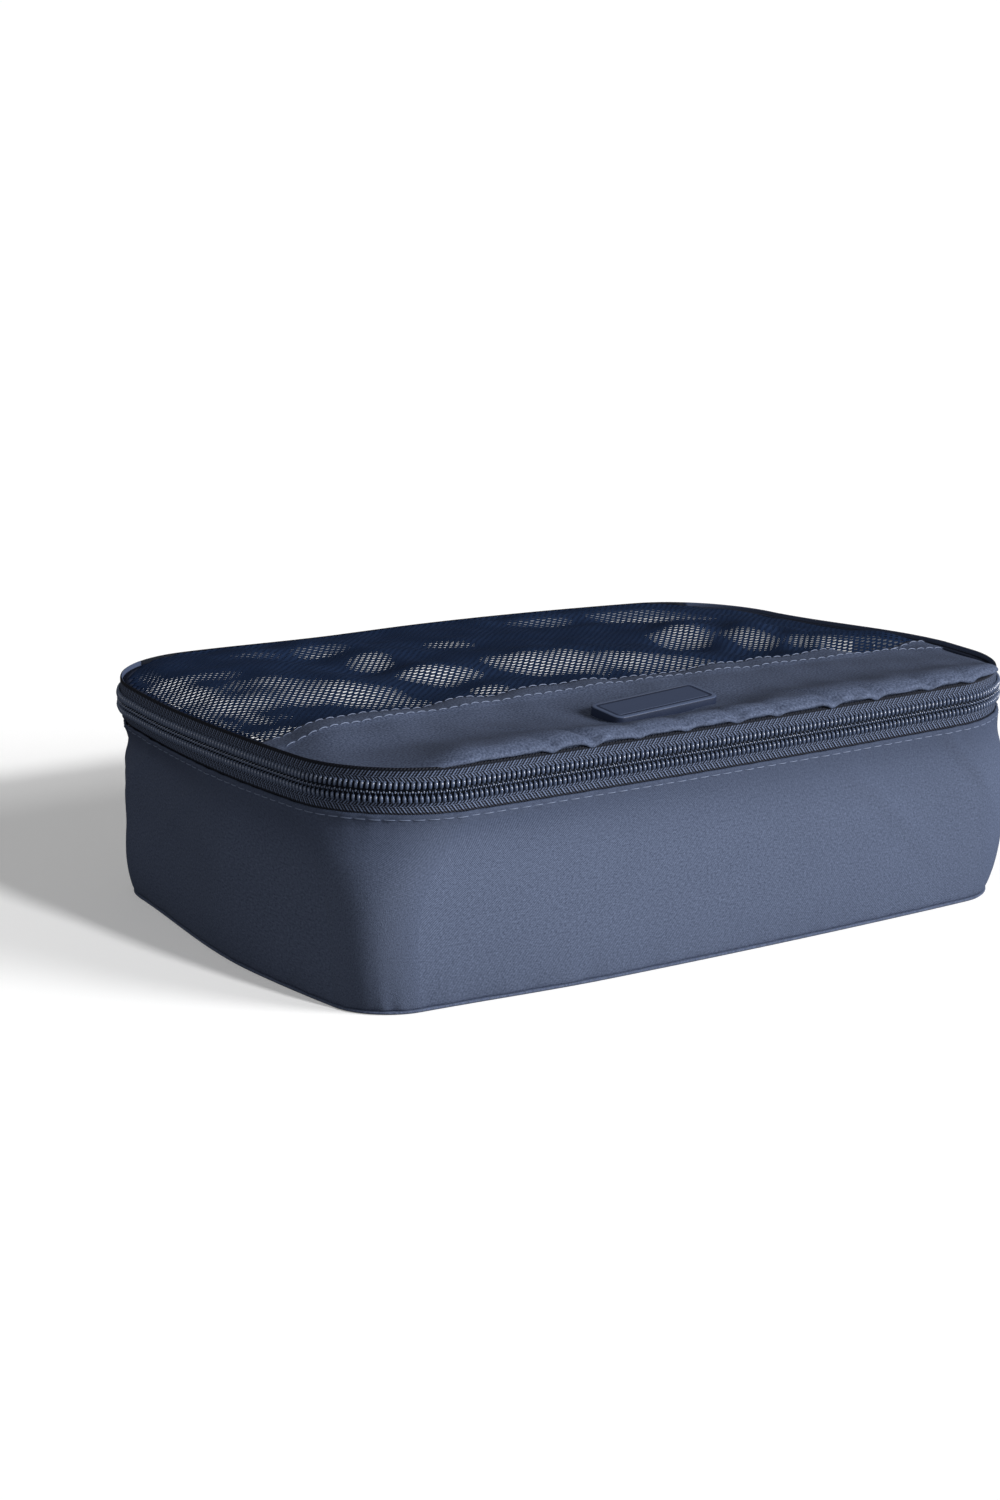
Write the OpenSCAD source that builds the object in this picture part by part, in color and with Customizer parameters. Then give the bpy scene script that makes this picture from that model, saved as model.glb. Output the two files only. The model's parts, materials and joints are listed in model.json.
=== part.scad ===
// Soft packing cube with a net lid on a three-sided coil zip.
// The origin is the middle of the base, on the surface it stands on; the front faces -Y.

/* [Tub] */
// Outside length at the zip
tub_l = 264; // [220:1:320]
// Outside depth at the zip
tub_d = 176; // [150:1:220]
// Corner radius seen from above, at the zip
corner_r = 34; // [28:1:44]
// Corner radius seen from above, at the base
base_corner_r = 20; // [14:1:40]
// How far each short side swells outwards
side_bow = 6; // [0:0.5:9]
// How far the front swells outwards
front_bow = 3.5; // [0:0.5:7]
// How far the wall swells at half its height
belly = 1.2; // [0:0.1:2.5]
// How far the base edge is tucked under the wall
base_tuck = 2.4; // [0:0.1:5]
// Thickness of the wall cloth
cloth_t = 1; // [0.8:0.1:1.4]
// Thickness of the base panel
base_t = 1.2; // [0.8:0.1:3]
// Height of the tape that binds the inside base seam
binding_h = 9; // [5:0.5:14]

/* [Zip] */
// Height of the zip's centre line above the base
zip_h = 64.5; // [50:0.5:90]
// Width of the closed coil
chain_w = 6; // [5:0.1:7]
// How far the coil stands out from its tape
coil_t = 1.8; // [1.4:0.1:2.2]
// Gap between the two coil rows
coil_gap = 1; // [0.8:0.1:1.2]
// Thickness of the zip tape
tape_t = 0.8; // [0.6:0.1:1.1]
// Tape that shows above the centre line
tape_up = 7; // [6.5:0.1:9]
// Tape that shows below the centre line
tape_down = 6.5; // [6:0.1:9]
// Tape that is hidden behind the wall's top edge
tape_tuck = 6; // [3:0.5:10]
// Angle of each rear corner that the zip runs round
zip_turn = 60; // [45:1:62]
// Length of an end stop along the zip
stop_l = 4; // [3:0.5:6]

/* [Lid] */
// Depth of the plain cloth band, from the front edge back to the net
band_d = 60; // [50:1:66]
// Rise of the lid's middle above its edge
crown = 3; // [2:0.5:12]
// How far the lid cloth lies below the top of the rim
lid_drop = 1; // [0.5:0.1:2]
// Thickness of the net
net_t = 1.4; // [1:0.1:2]
// Width of the net's bars
net_bar = 3; // [2:0.1:4]
// Gaps of the net along the length
net_x = 22; // [12:1:24]
// Gaps of the net along the depth
net_y = 12; // [8:1:12]
// Diameter of the roll that the lid turns on
hinge_d = 2; // [1.6:0.1:2]
// Height of the tape that binds the inside lid seam
lid_binding_h = 4; // [3:0.5:5]

/* [Badge] */
// Length of the badge
badge_l = 42; // [30:1:50]
// Depth of the badge
badge_w = 14; // [10:1:18]
// Thickness of the badge
badge_t = 2.6; // [2:0.1:4]
// Depth of the field inside its raised border
badge_field = 0.7; // [0.3:0.1:1.2]
// Width of its raised border
badge_border = 1.5; // [1:0.1:2.5]
// Corner radius of the badge
badge_r = 2.2; // [1.8:0.1:4]
// Distance of the badge's middle behind the front edge
badge_back = 28.5; // [24:0.5:38]
// Distance of the badge's middle from the centre line
badge_side = -10; // [-20:1:20]
// Angle that the badge is sewn on at, off the front edge
badge_turn = 7; // [-10:1:10]

/* [Sliders] */
// Length of a slider along the zip
slider_l = 10.4; // [9:0.1:13]
// Width of a slider across the zip
slider_w = 9.4; // [8:0.1:10]
// Thickness of its outer plate
plate_t = 1.2; // [1:0.1:1.6]
// Thickness of the post between its plates
post_t = 0.4; // [0.3:0.05:0.45]
// Gap between the two sliders when the zip is shut
slider_gap = 1.6; // [1:0.1:4]
// Diameter of the bridge pin
pin_d = 1.4; // [1.2:0.1:1.8]
// Length of a pull tab from its pin
pull_l = 27; // [20:1:34]
// Width of a pull tab
pull_w = 7.4; // [6:0.1:8]
// Thickness of a pull tab
pull_t = 1.5; // [1.2:0.1:2]

/* [Hidden] */

$fn = 48;

// Angle of the corner that an end stop covers
stop_turn = stop_l / (corner_r - cloth_t) * 180 / PI;

// Clearances
seam_gap = 0.3;
coil_seat = 0.15;
slide_gap = 1;
pin_gap = 0.15;

// Steps along the outline: per corner, short side, front and back
corner_steps = 9;
side_steps = 6;
front_steps = 12;
turn_steps = 6;
band_rows = 3;

// Outline of the zip tape's outer face; every other outline grows from it
hem = cloth_t + seam_gap;
tape_a = tub_l / 2 - hem - side_bow;
tape_b = tub_d / 2 - hem;
tape_r = corner_r - hem;
rear_y = tape_b;
front_b = tape_b - front_bow;

// Heights
rim_z = zip_h + tape_up;
wall_top = zip_h - tape_down;
lid_z = rim_z - lid_drop;
row_low = zip_h - coil_gap / 2;
row_high = zip_h + coil_gap / 2;

// The lid turns about a line along the wall's rear face, at the height of the zip
hinge_y = rear_y + hem;
hinge_half = tape_a - tape_r;

// Outline of the lid cloth, just inside the zip tape
lid_g = -tape_t - seam_gap;
lid_a = tape_a + lid_g;
lid_r = tape_r + lid_g;
net_y0 = band_d - tub_d / 2;
lid_cells = 22;
corner_rows = 4;
back_plate_t = 1;

// Swells a point of the plain outline: the short sides and the front bow, the back stays straight
function swell(p, a, b) =
  let (s = 1 - pow(p[1] / b, 2), t = 1 - pow(p[0] / a, 2))
  [
    p[0] + side_bow * s * p[0] / a,
    p[1] + (p[1] < 0 ? front_bow * t * p[1] / b : 0)
  ];

// Depth of the outline from its middle, shorter at the front where the bow is added
function reach(y, g) = (y < 0 ? front_b : tape_b) + g;

// One corner's arc: sx and sy pick the corner, the angles run anticlockwise
function corner(sx, sy, from, to, steps, g, r) =
  let (a = tape_a + g, b = reach(sy, g))
  [
    for (i = [0 : steps])
      let (t = from + (to - from) * i / steps)
      swell([sx * (a - r) + r * cos(t), sy * (b - r) + r * sin(t)], a, b)
  ];

// The inner points of a straight run between two corners
function side_run(sx, g, r) =
  let (a = tape_a + g, top = reach(1, g) - r, low = r - reach(-1, g))
  [
    for (i = [1 : side_steps - 1])
      let (k = sx < 0 ? i : side_steps - i, y = top + (low - top) * k / side_steps)
      swell([sx * a, y], a, reach(y, g))
  ];

function front_run(g, r) =
  let (a = tape_a + g, b = reach(-1, g), w = a - r)
  [for (i = [1 : front_steps - 1]) swell([-w + 2 * w * i / front_steps, -b], a, b)];

function back_run(g, r) =
  let (a = tape_a + g, b = reach(1, g), w = a - r)
  [for (i = [1 : front_steps - 1]) [w - 2 * w * i / front_steps, b]];

// From one rear corner round the front to the other; turn is the angle run of each rear corner
function front_path(g, r, turn) = concat(
  corner(-1, 1, 180 - turn, 180, turn_steps, g, r),
  side_run(-1, g, r),
  corner(-1, -1, 180, 270, corner_steps, g, r),
  front_run(g, r),
  corner(1, -1, 270, 360, corner_steps, g, r),
  side_run(1, g, r),
  corner(1, 1, 0, turn, turn_steps, g, r)
);

// From one rear corner along the back to the other
function back_path(g, r, turn) = concat(
  corner(1, 1, turn, 90, turn_steps, g, r),
  back_run(g, r),
  corner(-1, 1, 90, 180 - turn, turn_steps, g, r)
);

function closed_path(g, r) = concat(
  front_path(g, r, 90),
  back_run(g, r)
);

// Solid between two families of open paths. Outer and inner hold one path for each height
module wall(outer, inner, heights) {
  levels = len(heights);
  stations = len(outer[0]);
  span = 2 * levels;
  points = [
    for (i = [0 : stations - 1])
      each concat(
        [for (k = [0 : levels - 1]) [outer[k][i][0], outer[k][i][1], heights[k]]],
        [for (k = [levels - 1 : -1 : 0]) [inner[k][i][0], inner[k][i][1], heights[k]]]
      )
  ];
  skin = [
    for (i = [0 : stations - 2], k = [0 : span - 1])
      let (p = i * span, q = p + span, m = (k + 1) % span)
      each [[p + k, p + m, q + m], [p + k, q + m, q + k]]
  ];
  last = (stations - 1) * span;
  ends = [
    for (k = [0 : levels - 2])
      let (m = span - 1 - k)
      each [
        [k, m, m - 1], [k, m - 1, k + 1],
        [last + k, last + m - 1, last + m], [last + k, last + k + 1, last + m - 1]
      ]
  ];
  polyhedron(points = points, faces = concat(skin, ends), convexity = 10);
}

// Upright band along the zip, from growth g0 out to g1
module zip_band(g0, g1, z0, z1) {
  outer = front_path(g1, tape_r + g1, zip_turn);
  inner = front_path(g0, tape_r + g0, zip_turn);
  wall([outer, outer], [inner, inner], [z0, z1]);
}

// Growth and corner radius of the wall at a share of its height, 0 at the base and 1 at the top
function wall_out(t) = hem - base_tuck * pow(1 - t, 6) + 4 * belly * t * (1 - t);
function wall_r(t) = base_corner_r + (corner_r - base_corner_r) * t;

wall_levels = [0, 0.08, 0.25, 0.5, 0.75, 1];
function wall_z(t) = base_t + (wall_top - base_t) * t;
function wall_heights() = [for (t = wall_levels) wall_z(t)];

module base_panel() {
  color("#3f4a66")
    linear_extrude(base_t)
      polygon(closed_path(wall_out(0), wall_r(0)));
}

module gusset() {
  outer = [for (t = wall_levels) front_path(wall_out(t), wall_r(t), 90)];
  inner = [for (t = wall_levels) front_path(wall_out(t) - cloth_t, wall_r(t) - cloth_t, 90)];
  color("#55607f")
    wall(outer, inner, wall_heights());
}

// Rear wall between the two ends of the gusset
module back_panel() {
  function ends(g, r) = [for (s = [1, -1]) [s * (tape_a + g - r), tape_b + g]];
  outer = [for (t = wall_levels) ends(wall_out(t), wall_r(t))];
  inner = [for (t = wall_levels) ends(wall_out(t) - cloth_t, wall_r(t) - cloth_t)];
  color("#55607f")
    wall(outer, inner, wall_heights());
}

module base_binding() {
  g = wall_out(0) - cloth_t - seam_gap;
  r = wall_r(0) - cloth_t - seam_gap;
  color("#2c3550")
    translate([0, 0, base_t])
      linear_extrude(binding_h)
        difference() {
          polygon(closed_path(g, r));
          polygon(closed_path(g - cloth_t, r - cloth_t));
        }
}

module lower_zip_tape() {
  color("#2f3a58")
    zip_band(-tape_t, 0, wall_top - tape_tuck, row_low);
}

module upper_zip_tape() {
  color("#2f3a58")
    zip_band(-tape_t, 0, row_high, rim_z);
}

// One row of the coil, a bulged band on the tape's outer face
module coil_row(z0, z1) {
  shoulder = 0.6 * coil_t;
  turn = zip_turn - stop_turn;
  outs = [for (g = [shoulder, coil_t, shoulder]) front_path(g, tape_r + g, turn)];
  back = front_path(coil_seat, tape_r + coil_seat, turn);
  heights = [z0, (z0 + z1) / 2, z1];
  wall(outs, [back, back, back], heights);
}

module lower_zip_coil() {
  color("#1d2438")
    coil_row(zip_h - chain_w / 2, row_low);
}

module upper_zip_coil() {
  color("#1d2438")
    coil_row(row_high, zip_h + chain_w / 2);
}

// Clamps on the last of the tape at both ends of the zip
module stop_pair(z0, z1) {
  t = 180 - zip_turn + stop_turn / 2;
  p = corner(-1, 1, t, t, 1, seam_gap, tape_r + seam_gap)[0];
  for (side = [0, 1])
    mirror([side, 0, 0])
      translate([p[0], p[1], z0])
        rotate([0, 0, t])
          translate([0, seam_gap - stop_l / 2, 0])
            cube([coil_t, stop_l - 2 * seam_gap, z1 - z0]);
}

module lower_zip_stops() {
  color("#1d2438")
    stop_pair(zip_h - chain_w / 2, row_low);
}

module upper_zip_stops() {
  color("#1d2438")
    stop_pair(row_high, zip_h + chain_w / 2);
}

// Upright band along the back, between the two ends of the zip
module back_band(z0, z1) {
  outer = back_path(0, tape_r, zip_turn);
  inner = back_path(-tape_t, tape_r - tape_t, zip_turn);
  wall([outer, outer], [inner, inner], [z0, z1]);
}

module back_strip() {
  color("#55607f")
    back_band(wall_top - tape_tuck, row_low);
}

module lid_back_strip() {
  color("#55607f")
    back_band(row_high, rim_z);
}

// Rolled edge on the hinge line, with its tail sewn to the back strip
module hinge_fold() {
  color("#465172") {
    translate([-hinge_half, hinge_y, zip_h])
      rotate([0, 90, 0])
        cylinder(d = hinge_d, h = 2 * hinge_half);
    translate([-hinge_half, rear_y, wall_top + seam_gap])
      cube([2 * hinge_half, hinge_y - rear_y, zip_h - wall_top - seam_gap]);
  }
}

// Plan and height of the lid cloth: u runs from -1 to 1 across, y is the plain depth
function lid_b(y) = reach(y, lid_g);
function lid_half(y) =
  let (e = abs(y) - lid_b(y) + lid_r)
  e <= 0 ? lid_a : lid_a - lid_r + sqrt(max(0, lid_r * lid_r - e * e));
function lid_rise(u, y) = crown * (1 - pow(u, 4)) * (1 - pow(y / lid_b(y), 4));
function lid_point(u, y) =
  let (p = swell([u * lid_half(y), y], lid_a, lid_b(y)))
  [p[0], p[1], lid_z + lid_rise(u, y)];

// Rows of the lid cloth, front to back, closer together round the corners
function front_rows() =
  let (b = lid_b(-1), straight = lid_r - b)
  concat(
    [for (i = [0 : corner_rows]) straight - lid_r * cos(90 * i / corner_rows)],
    [for (i = [1 : band_rows]) straight + (net_y0 - straight) * i / band_rows]
  );
function net_rows() =
  let (b = lid_b(1), straight = b - lid_r, n = net_y - corner_rows)
  concat(
    [for (i = [0 : n]) net_y0 + (straight - net_y0) * i / n],
    [for (i = [1 : corner_rows]) straight + lid_r * sin(90 * i / corner_rows)]
  );

// Crowned sheet over the given rows; a bar width above 0 leaves a gap in every cell
module lid_sheet(rows, cells, thick, bar = 0) {
  nx = cells;
  ny = len(rows) - 1;
  top = [for (j = [0 : ny], i = [0 : nx]) lid_point(2 * i / nx - 1, rows[j])];
  count = len(top);
  low = [for (p = top) p - [0, 0, thick]];
  function at(i, j) = j * (nx + 1) + i;
  function cell(i, j) = [at(i, j), at(i + 1, j), at(i + 1, j + 1), at(i, j + 1)];
  // Corner k of a cell's gap, drawn in from the cell's own corner along both sides
  function inset(c, k) =
    let (o = top[c[k]], p = top[c[(k + 1) % 4]], q = top[c[(k + 3) % 4]])
    o + (p - o) / norm(p - o) * bar / 2 + (q - o) / norm(q - o) * bar / 2;
  cells_at = [for (j = [0 : ny - 1], i = [0 : nx - 1]) cell(i, j)];
  gap_top = bar > 0 ? [for (c = cells_at, k = [0 : 3]) inset(c, k)] : [];
  gap_low = [for (p = gap_top) p - [0, 0, thick]];
  gap_first = 2 * count;
  gap_under = gap_first + len(gap_top);
  closed_cells = [
    for (c = cells_at)
      each [
        [c[0], c[3], c[2]], [c[0], c[2], c[1]],
        [c[0] + count, c[2] + count, c[3] + count], [c[0] + count, c[1] + count, c[2] + count]
      ]
  ];
  open_cells = [
    for (n = [0 : len(cells_at) - 1], k = [0 : 3])
      let (
        m = (k + 1) % 4, c = cells_at[n][k], d = cells_at[n][m],
        g = gap_first + 4 * n + k, h = gap_first + 4 * n + m,
        gl = gap_under + 4 * n + k, hl = gap_under + 4 * n + m
      )
      each [
        [c, g, h], [c, h, d],
        [c + count, hl, gl], [c + count, d + count, hl],
        [h, g, gl], [h, gl, hl]
      ]
  ];
  edge = concat(
    [for (i = [0 : nx - 1]) at(i, 0)],
    [for (j = [0 : ny - 1]) at(nx, j)],
    [for (i = [nx : -1 : 1]) at(i, ny)],
    [for (j = [ny : -1 : 1]) at(0, j)]
  );
  rim = [
    for (n = [0 : len(edge) - 1])
      let (e = edge[n], f = edge[(n + 1) % len(edge)])
      each [[e, f, f + count], [e, f + count, e + count]]
  ];
  polyhedron(
    points = concat(top, low, gap_top, gap_low),
    faces = concat(bar > 0 ? open_cells : closed_cells, rim),
    convexity = 20
  );
}

module lid_front_panel() {
  color("#4a5573")
    lid_sheet(front_rows(), lid_cells, cloth_t);
}

module lid_mesh_panel() {
  color("#1f2a49")
    lid_sheet(net_rows(), net_x, net_t, net_bar);
}

module lid_binding() {
  g = -tape_t - slide_gap - back_plate_t - seam_gap;
  color("#2c3550")
    translate([0, 0, lid_z - net_t - seam_gap - lid_binding_h])
      linear_extrude(lid_binding_h)
        difference() {
          polygon(closed_path(g, tape_r + g));
          polygon(closed_path(g - cloth_t, tape_r + g - cloth_t));
        }
}

// Flat shape with round corners, middle at the origin
module round_rect(l, w, r) {
  square([l - 2 * r, w], center = true);
  square([l, w - 2 * r], center = true);
  for (x = [-1, 1], y = [-1, 1])
    translate([x * (l / 2 - r), y * (w / 2 - r)])
      circle(r);
}

module badge() {
  y = badge_back - tub_d / 2;
  u = badge_side / lid_half(y);
  step = 1;
  across = lid_point(u, y + step) - lid_point(u, y - step);
  field_r = badge_r - badge_border / 2;
  color("#313c5c")
    translate(lid_point(u, y) + [0, 0, seam_gap])
      rotate([atan(across[2] / across[1]), 0, badge_turn])
        difference() {
          linear_extrude(badge_t)
            round_rect(badge_l, badge_w, badge_r);
          translate([0, 0, badge_t - badge_field])
            linear_extrude(badge_t)
              round_rect(badge_l - 2 * badge_border, badge_w - 2 * badge_border, field_r);
        }
}

// Slider sizes, measured out from the tape's face at the middle of the right-hand side
face_x = tape_a + side_bow;
plate_x = face_x + coil_t + seam_gap;
back_x = face_x - tape_t - slide_gap;
slider_y = -(slider_gap + slider_l) / 2;
eye_wall = 0.9;
eye_r = pin_d / 2 + pin_gap + eye_wall;
eye_h = 3.2;
lug_t = 0.9;
lug_wall = 0.5;
lug_reach = pin_d / 2 + lug_wall;
pin_x = plate_x + plate_t + seam_gap + eye_r;
tab_start = norm([eye_r, lug_reach]) + seam_gap;
lip_h = 0.9;
post_l = 2;

// Outline of a slider plate, wide where the two rows part
module plate_shape(w) {
  nose = 0.6 * w;
  cut = 1.2;
  l = slider_l / 2;
  polygon([
    [-l, -nose / 2], [-l + cut, -nose / 2 - cut], [l - cut, -w / 2], [l, -w / 2 + cut],
    [l, w / 2 - cut], [l - cut, w / 2], [-l + cut, nose / 2 + cut], [-l, nose / 2]
  ]);
}

// Plate that lies along the zip, from x outwards
module upright_plate(x, t) {
  translate([x, slider_y, zip_h])
    rotate([90, 0, 90])
      linear_extrude(t)
        children();
}

module slider_body() {
  back_w = slider_w - 2 * lip_h;
  lip_x = face_x + seam_gap;
  color("#202840") {
    upright_plate(plate_x, plate_t) plate_shape(slider_w);
    upright_plate(back_x - back_plate_t, back_plate_t) plate_shape(back_w);
    translate([back_x, slider_y + slider_l / 2 - 1.5 * post_l, zip_h - post_t / 2])
      cube([plate_x - back_x, post_l, post_t]);
    translate([lip_x, slider_y, zip_h - slider_w / 2])
      cube([plate_x - lip_x, slider_l / 3, lip_h]);
    for (side = [0, 1])
      translate([plate_x + plate_t, slider_y - eye_r, zip_h])
        mirror([0, 0, side])
          translate([0, 0, eye_h / 2 + pin_gap])
            cube([pin_x - plate_x - plate_t + lug_reach, 2 * eye_r, lug_t]);
    translate([pin_x, slider_y, zip_h])
      cylinder(d = pin_d, h = eye_h + 2 * pin_gap, center = true);
  }
}

module slider_pull() {
  tab_l = pull_l - tab_start;
  tab_r = pull_w / 4;
  neck_l = tab_start + tab_r;
  color("#3a4563")
    translate([pin_x, slider_y, zip_h])
      difference() {
        union() {
          cylinder(r = eye_r, h = eye_h, center = true);
          translate([-pull_t / 2, -neck_l, -eye_h / 2])
            cube([pull_t, neck_l, eye_h]);
          translate([-pull_t / 2, 0, 0])
            rotate([90, 0, 90])
              linear_extrude(pull_t)
                translate([-(tab_start + pull_l) / 2, 0])
                  round_rect(tab_l, pull_w, tab_r);
        }
        cylinder(d = pin_d + 2 * pin_gap, h = 2 * eye_h, center = true);
      }
}

module slider_front_body() { slider_body(); }
module slider_front_pull() { slider_pull(); }
module slider_rear_body() { mirror([0, 1, 0]) slider_body(); }
module slider_rear_pull() { mirror([0, 1, 0]) slider_pull(); }

base_panel();
gusset();
back_panel();
base_binding();
lower_zip_tape();
lower_zip_coil();
lower_zip_stops();
back_strip();
hinge_fold();
lid_front_panel();
lid_mesh_panel();
lid_back_strip();
lid_binding();
upper_zip_tape();
upper_zip_coil();
upper_zip_stops();
badge();
slider_front_body();
slider_front_pull();
slider_rear_body();
slider_rear_pull();
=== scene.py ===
import json
import math

import bpy
import numpy as np
from mathutils import Matrix, Vector


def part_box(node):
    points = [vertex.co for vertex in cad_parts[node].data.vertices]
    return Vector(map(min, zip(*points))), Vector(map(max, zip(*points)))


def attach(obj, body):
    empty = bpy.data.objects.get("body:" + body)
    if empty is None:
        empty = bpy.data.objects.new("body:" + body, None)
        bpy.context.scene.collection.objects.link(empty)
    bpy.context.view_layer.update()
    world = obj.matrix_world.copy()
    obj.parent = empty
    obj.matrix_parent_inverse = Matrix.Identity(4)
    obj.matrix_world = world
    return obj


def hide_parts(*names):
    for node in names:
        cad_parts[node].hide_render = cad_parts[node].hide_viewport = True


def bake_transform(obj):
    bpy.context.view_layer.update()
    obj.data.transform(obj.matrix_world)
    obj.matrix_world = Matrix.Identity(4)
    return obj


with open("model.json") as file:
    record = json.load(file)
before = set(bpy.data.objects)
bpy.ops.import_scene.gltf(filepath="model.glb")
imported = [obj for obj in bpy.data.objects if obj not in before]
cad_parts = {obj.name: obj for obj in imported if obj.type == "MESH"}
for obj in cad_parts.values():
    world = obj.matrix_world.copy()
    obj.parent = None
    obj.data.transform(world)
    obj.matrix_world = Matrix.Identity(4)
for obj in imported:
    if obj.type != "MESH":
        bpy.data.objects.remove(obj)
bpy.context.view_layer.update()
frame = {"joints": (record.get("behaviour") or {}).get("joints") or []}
print("frame loaded")


def jointAt(name):
    return Vector([j for j in frame["joints"] if j["name"] == name][0]["pos_m"])


# sizes every piece shares; places come from the CAD boxes
cube = dict(sideBow=0.006, frontBow=0.0035, hem=0.0013, belly=0.0012, tuck=0.0024, cornerR=0.034, footR=0.023,
            nearR=0.0165, crown=0.003, lidInset=0.0011, lidLift=0.001, zipTurn=60, coilTurn=53)
tapeMin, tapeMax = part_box("upper_zip_tape")
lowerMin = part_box("lower_zip_tape")[0]
hinge = jointAt("lid_hinge")
zipZ = hinge.z
rimZ = tapeMax.z
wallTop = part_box("gusset")[1].z
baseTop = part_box("base_panel")[1].z
halfL = tapeMax.x - cube["sideBow"]
halfB = hinge.y - cube["hem"]
halfF = -tapeMin.y - cube["frontBow"]
tapeR = cube["cornerR"] - cube["hem"]
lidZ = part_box("lid_front_panel")[0].z + cube["lidLift"]
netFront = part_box("lid_mesh_panel")[0].y
badgeAt = sum(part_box("badge"), Vector()) / 2


# outline stations: share of the way to the corner centre in x and y, then the outward direction
def cornerRun(sx, sy, start, stop, step):
    n = max(2, round(abs(stop - start) * math.pi / 180 * tapeR / step))
    turn = np.radians(np.linspace(start, stop, n + 1))
    return [(sx, sy, math.cos(t), math.sin(t)) for t in turn]


def sideRun(sx, step):
    top, low = halfB - tapeR, tapeR - halfF
    n = round((top - low) / step)
    ys = np.linspace(top, low, n + 1)[1:-1]
    if sx > 0:
        ys = ys[::-1]
    return [(sx, y / top if y > 0 else -y / low, sx, 0) for y in ys]


def straightRun(sy, step):
    n = round(2 * (halfL - tapeR) / step)
    xs = np.linspace(-1, 1, n + 1)[1:-1]
    if sy > 0:
        xs = xs[::-1]
    return [(x, sy, 0, sy) for x in xs]


def frontPath(step, turn):
    left = cornerRun(-1, 1, 180 - turn, 180, step) + sideRun(-1, step)
    front = cornerRun(-1, -1, 180, 270, step) + straightRun(-1, step) + cornerRun(1, -1, 270, 360, step)
    return np.array(left + front + sideRun(1, step) + cornerRun(1, 1, 0, turn, step))


def backPath(step, turn):
    right, left = cornerRun(1, 1, turn, 90, step), cornerRun(-1, 1, 90, 180 - turn, step)
    return np.array(right + straightRun(1, step) + left)


def closedPath(step):
    return np.vstack([frontPath(step, 90), straightRun(1, step)])


def outline(path, grow, radius):
    mx, my, ux, uy = path.T
    a = halfL + grow
    b = np.where(my < 0, halfF, halfB) + grow
    x = mx * (a - radius) + radius * ux
    y = my * (b - radius) + radius * uy
    b = np.where(y < 0, halfF, halfB) + grow
    side, front = 1 - (y / b) ** 2, 1 - (x / a) ** 2
    return x + cube["sideBow"] * side * x / a, np.where(y < 0, y + cube["frontBow"] * front * y / b, y)


def ringAt(path, z, grow, radius):
    x, y = outline(path, grow, radius)
    return np.stack([x, y, np.broadcast_to(z, x.shape)], -1)


def lengthAlong(path):
    x, y = outline(path, 0, tapeR)
    return np.concatenate([[0], np.cumsum(np.hypot(np.diff(x), np.diff(y)))])


# sum of a few slow waves, the same on every run
def wobble(t, seed, shortest, longest, count=7):
    rng = np.random.default_rng(seed)
    waves = rng.uniform(1 / longest, 1 / shortest, count)
    phases = rng.uniform(0, 2 * math.pi, count)
    return sum(np.sin(2 * math.pi * t * w + p) for w, p in zip(waves, phases)) / math.sqrt(count)


def wobbleFlat(x, y, seed, shortest, longest, count=9):
    rng = np.random.default_rng(seed)
    waves = rng.uniform(1 / longest, 1 / shortest, count)
    phases = rng.uniform(0, 2 * math.pi, count)
    total = 0
    for w, p, d in zip(waves, phases, rng.uniform(0, math.pi, count)):
        total = total + np.sin(2 * math.pi * w * (x * math.cos(d) + y * math.sin(d)) + p)
    return total / math.sqrt(count)


def smoothStep(t, low, high):
    k = np.clip((t - low) / (high - low), 0, 1)
    return k * k * (3 - 2 * k)


def plateau(t, low, full, fade, gone):
    return smoothStep(t, low, full) * (1 - smoothStep(t, fade, gone))


def bell(t, middle, half):
    return np.exp(-((t - middle) / half) ** 2)


# how far each face of a cloth draws in near its edge, so that the edge is round
def edgeRound(gap, reach, cloth):
    k = max(0.0, 1 - gap / reach)
    return 0.45 * cloth * (1 - math.sqrt(1 - k * k))


# growth of a strip's outer and inner face at each height
def stripFaces(zs, s, grow):
    inset = np.array([edgeRound(min(z - zs[0], zs[-1] - z), s["edge"], s["cloth"]) for z in zs])
    return grow - inset, grow - s["cloth"] + inset


# how the soft cube has set: the lid sags at its far rear corner and lifts at the near one,
# the wall draws in at the left rear, and the foot spreads to the front and tucks in at the right
sag = dict(drop=0.0052, dropX=(-0.010, 0.128), dropY=(-0.034, 0.054), lift=0.0012, liftX=(-0.095, -0.030),
           liftY=(0.020, 0.080), drawIn=0.0055, drawX=(0.020, 0.120), drawY=(-0.025, 0.060),
           drawTop=0.050, drawGap=0.001, hollow=0.0026, hollowAt=0.027, hollowHalf=0.016, hug=0.0013,
           hugX=(0.095, 0.136), spread=0.0030, spreadTop=0.045, spreadY=(0.030, 0.080), cornerBack=0.0026,
           cornerX=(0.045, 0.110), tuckIn=0.0084, tuckX=(0.080, 0.130), tuckTop=0.058)


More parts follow.
